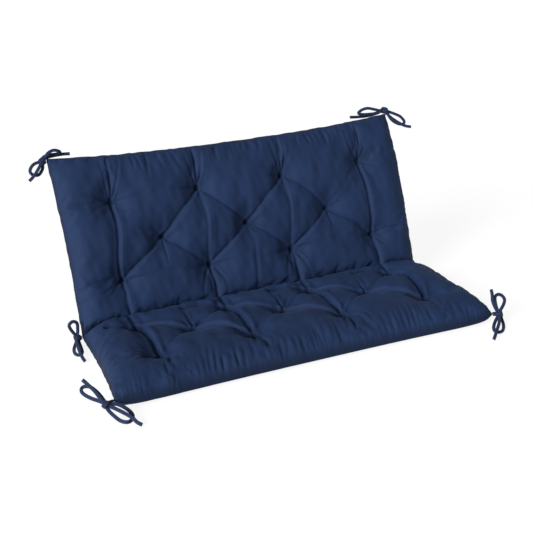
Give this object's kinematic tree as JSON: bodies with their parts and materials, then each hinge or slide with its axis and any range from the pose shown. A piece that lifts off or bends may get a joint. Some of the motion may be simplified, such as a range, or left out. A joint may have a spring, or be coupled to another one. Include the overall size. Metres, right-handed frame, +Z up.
{
  "type": "bench cushion",
  "caption": "Filled seat and back cushion for a bench, folded at a sewn crease, tufted through and tied with bows at its edges.",
  "frame": {"origin": "bottom centre of the cushion's box without its ties, on the surface it rests on", "axes": "+X to the right as seen from the front, along the bench; +Y backwards; +Z up"},
  "size_m": [1.3833, 0.8107, 0.5678],
  "materials": {
    "cover": "smooth tightly woven navy cloth, matt with a faint sheen",
    "strap": "flat edge-stitched strap of the same navy cloth"
  },
  "bodies": {
    "root": {"cushion": "cover", "tie_top_left": "strap", "tie_top_right": "strap", "tie_crease_left": "strap", "tie_crease_right": "strap", "tie_front_left": "strap", "tie_front_right": "strap"}
  },
  "joints": []
}
